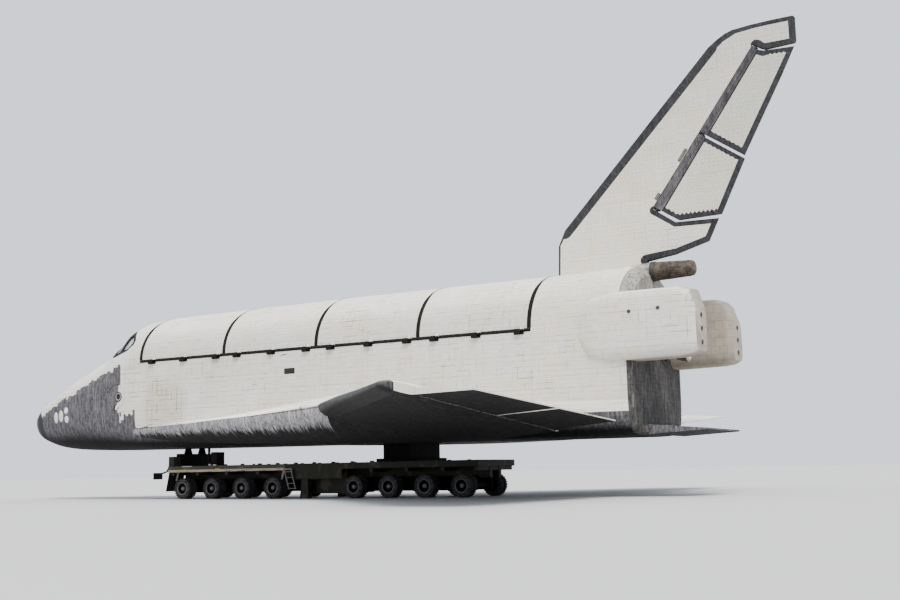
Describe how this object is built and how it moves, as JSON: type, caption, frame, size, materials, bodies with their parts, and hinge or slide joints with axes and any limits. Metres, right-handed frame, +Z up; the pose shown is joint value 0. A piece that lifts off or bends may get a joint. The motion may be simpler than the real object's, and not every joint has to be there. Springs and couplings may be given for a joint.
{
  "type": "winged space orbiter on a road transporter",
  "caption": "Winged orbiter spaceplane with opening payload bay, crew hatch and moving control surfaces, parked on the multi-axle road transporter that carries it",
  "frame": {"origin": "on the ground, under the middle of the overall length and on the plane of symmetry", "axes": "X runs aft from the nose to the tail, Y to starboard, Z up"},
  "size_m": [36.37, 23.92, 16.26],
  "materials": {
    "tile_white": "matt heat-resisting blankets and tiles, stained",
    "tile_dark": "matt dark heat tiles",
    "carbon": "satin dark carbon",
    "glass": "tinted window glass",
    "pod_grey": "weathered grey-beige blankets",
    "nozzle": "heat-stained metal",
    "cabin_grey": "matt grey paint",
    "trailer_paint": "worn dark olive paint",
    "saddle_black": "dull black padding",
    "cabinet_brown": "worn brown paint",
    "tyre": "dusty rubber on grey hubs"
  },
  "bodies": {
    "airframe": {"nose_cap": "carbon", "windshield_frame": "carbon", "chute_case": "carbon", "wing_edge_right": "carbon", "wing_edge_left": "carbon", "forward_fuselage": "tile_white", "mid_fuselage": "tile_white", "aft_fuselage": "tile_white", "fin": "tile_white", "wing_right": "tile_white", "wing_left": "tile_white", "windshield_glass": "glass", "cabin_deck": "cabin_grey", "engine_right": "nozzle", "engine_left": "nozzle", "thruster_pod_right": "pod_grey", "thruster_pod_left": "pod_grey", "trailer_frame": "trailer_paint", "bogie_front": "trailer_paint", "bogie_rear": "trailer_paint", "battery_box": "trailer_paint", "lamp_bracket": "trailer_paint", "ladder": "trailer_paint", "saddle_front": "saddle_black", "saddle_rear": "saddle_black", "service_cabinet": "cabinet_brown"},
    "bay_door_right": {"bay_door_right": "tile_white"},
    "bay_door_left": {"bay_door_left": "tile_white"},
    "crew_hatch": {"crew_hatch": "tile_white"},
    "body_flap": {"body_flap": "tile_dark"},
    "elevon_inner_right": {"elevon_inner_right": "tile_white"},
    "elevon_inner_left": {"elevon_inner_left": "tile_white"},
    "elevon_outer_right": {"elevon_outer_right": "tile_white"},
    "elevon_outer_left": {"elevon_outer_left": "tile_white"},
    "rudder_shaft": {"rudder_shaft": "carbon"},
    "speed_brake_right": {"rudder_lower_right": "tile_white", "rudder_upper_right": "tile_white"},
    "speed_brake_left": {"rudder_lower_left": "tile_white", "rudder_upper_left": "tile_white"},
    "wheel_right_1": {"wheel_right_1": "tyre"},
    "wheel_left_1": {"wheel_left_1": "tyre"},
    "wheel_right_2": {"wheel_right_2": "tyre"},
    "wheel_left_2": {"wheel_left_2": "tyre"},
    "wheel_right_3": {"wheel_right_3": "tyre"},
    "wheel_left_3": {"wheel_left_3": "tyre"},
    "wheel_right_4": {"wheel_right_4": "tyre"},
    "wheel_left_4": {"wheel_left_4": "tyre"},
    "wheel_right_5": {"wheel_right_5": "tyre"},
    "wheel_left_5": {"wheel_left_5": "tyre"},
    "wheel_right_6": {"wheel_right_6": "tyre"},
    "wheel_left_6": {"wheel_left_6": "tyre"},
    "wheel_right_7": {"wheel_right_7": "tyre"},
    "wheel_left_7": {"wheel_left_7": "tyre"},
    "wheel_right_8": {"wheel_right_8": "tyre"},
    "wheel_left_8": {"wheel_left_8": "tyre"}
  },
  "joints": [
    {"name": "bay_door_right_open", "type": "hinge", "parent": "airframe", "child": "bay_door_right", "pos_m": [-0.035, 2.77, 5.8], "axis": [-1, 0, 0], "range_deg": [0, 175]},
    {"name": "bay_door_left_open", "type": "hinge", "parent": "airframe", "child": "bay_door_left", "pos_m": [-0.035, -2.77, 5.8], "axis": [1, 0, 0], "range_deg": [0, 175]},
    {"name": "crew_hatch_open", "type": "hinge", "parent": "airframe", "child": "crew_hatch", "pos_m": [-10.585, -2.7, 3.845], "axis": [1, 0, 0], "range_deg": [0, 100]},
    {"name": "body_flap_turn", "type": "hinge", "parent": "airframe", "child": "body_flap", "pos_m": [12.945, 0, 2.23], "axis": [0, 1, 0], "range_deg": [-11.7, 22.5]},
    {"name": "elevon_inner_right_turn", "type": "hinge", "parent": "airframe", "child": "elevon_inner_right", "pos_m": [9.915, 4.9, 2.703], "axis": [0, 0.9979, 0.0649], "range_deg": [-35, 20]},
    {"name": "elevon_outer_right_turn", "type": "hinge", "parent": "airframe", "child": "elevon_outer_right", "pos_m": [9.915, 9.35, 2.9922], "axis": [0, 0.9979, 0.0649], "range_deg": [-35, 20]},
    {"name": "elevon_inner_left_turn", "type": "hinge", "parent": "airframe", "child": "elevon_inner_left", "pos_m": [9.915, -4.9, 2.703], "axis": [0, 0.9979, -0.0649], "range_deg": [-35, 20]},
    {"name": "elevon_outer_left_turn", "type": "hinge", "parent": "airframe", "child": "elevon_outer_left", "pos_m": [9.915, -9.35, 2.9922], "axis": [0, 0.9979, -0.0649], "range_deg": [-35, 20]},
    {"name": "rudder_turn", "type": "hinge", "parent": "airframe", "child": "rudder_shaft", "pos_m": [13.015, 0, 10.11], "axis": [0.5806, 0, 0.8142], "range_deg": [-23, 23]},
    {"name": "speed_brake_right_open", "type": "hinge", "parent": "rudder_shaft", "child": "speed_brake_right", "pos_m": [13.015, 0, 10.11], "axis": [0.5806, 0, 0.8142], "range_deg": [0, 43.5]},
    {"name": "speed_brake_left_open", "type": "hinge", "parent": "rudder_shaft", "child": "speed_brake_left", "pos_m": [13.015, 0, 10.11], "axis": [-0.5806, 0, -0.8142], "range_deg": [0, 43.5]},
    {"name": "wheel_right_1_roll", "type": "hinge", "parent": "airframe", "child": "wheel_right_1", "pos_m": [-7.815, 1.24, 0.435], "axis": [0, 1, 0], "continuous": true},
    {"name": "wheel_left_1_roll", "type": "hinge", "parent": "airframe", "child": "wheel_left_1", "pos_m": [-7.815, -1.24, 0.435], "axis": [0, 1, 0], "continuous": true},
    {"name": "wheel_right_2_roll", "type": "hinge", "parent": "airframe", "child": "wheel_right_2", "pos_m": [-6.245, 1.24, 0.435], "axis": [0, 1, 0], "continuous": true},
    {"name": "wheel_left_2_roll", "type": "hinge", "parent": "airframe", "child": "wheel_left_2", "pos_m": [-6.245, -1.24, 0.435], "axis": [0, 1, 0], "continuous": true},
    {"name": "wheel_right_3_roll", "type": "hinge", "parent": "airframe", "child": "wheel_right_3", "pos_m": [-4.665, 1.24, 0.435], "axis": [0, 1, 0], "continuous": true},
    {"name": "wheel_left_3_roll", "type": "hinge", "parent": "airframe", "child": "wheel_left_3", "pos_m": [-4.665, -1.24, 0.435], "axis": [0, 1, 0], "continuous": true},
    {"name": "wheel_right_4_roll", "type": "hinge", "parent": "airframe", "child": "wheel_right_4", "pos_m": [-3.065, 1.24, 0.435], "axis": [0, 1, 0], "continuous": true},
    {"name": "wheel_left_4_roll", "type": "hinge", "parent": "airframe", "child": "wheel_left_4", "pos_m": [-3.065, -1.24, 0.435], "axis": [0, 1, 0], "continuous": true},
    {"name": "wheel_right_5_roll", "type": "hinge", "parent": "airframe", "child": "wheel_right_5", "pos_m": [0.835, 1.24, 0.435], "axis": [0, 1, 0], "continuous": true},
    {"name": "wheel_left_5_roll", "type": "hinge", "parent": "airframe", "child": "wheel_left_5", "pos_m": [0.835, -1.24, 0.435], "axis": [0, 1, 0], "continuous": true},
    {"name": "wheel_right_6_roll", "type": "hinge", "parent": "airframe", "child": "wheel_right_6", "pos_m": [2.415, 1.24, 0.435], "axis": [0, 1, 0], "continuous": true},
    {"name": "wheel_left_6_roll", "type": "hinge", "parent": "airframe", "child": "wheel_left_6", "pos_m": [2.415, -1.24, 0.435], "axis": [0, 1, 0], "continuous": true},
    {"name": "wheel_right_7_roll", "type": "hinge", "parent": "airframe", "child": "wheel_right_7", "pos_m": [3.995, 1.24, 0.435], "axis": [0, 1, 0], "continuous": true},
    {"name": "wheel_left_7_roll", "type": "hinge", "parent": "airframe", "child": "wheel_left_7", "pos_m": [3.995, -1.24, 0.435], "axis": [0, 1, 0], "continuous": true},
    {"name": "wheel_right_8_roll", "type": "hinge", "parent": "airframe", "child": "wheel_right_8", "pos_m": [5.575, 1.24, 0.435], "axis": [0, 1, 0], "continuous": true},
    {"name": "wheel_left_8_roll", "type": "hinge", "parent": "airframe", "child": "wheel_left_8", "pos_m": [5.575, -1.24, 0.435], "axis": [0, 1, 0], "continuous": true}
  ],
  "couplings": [
    {"joint": "speed_brake_left_open", "follows": "speed_brake_right_open", "ratio": 1}
  ]
}
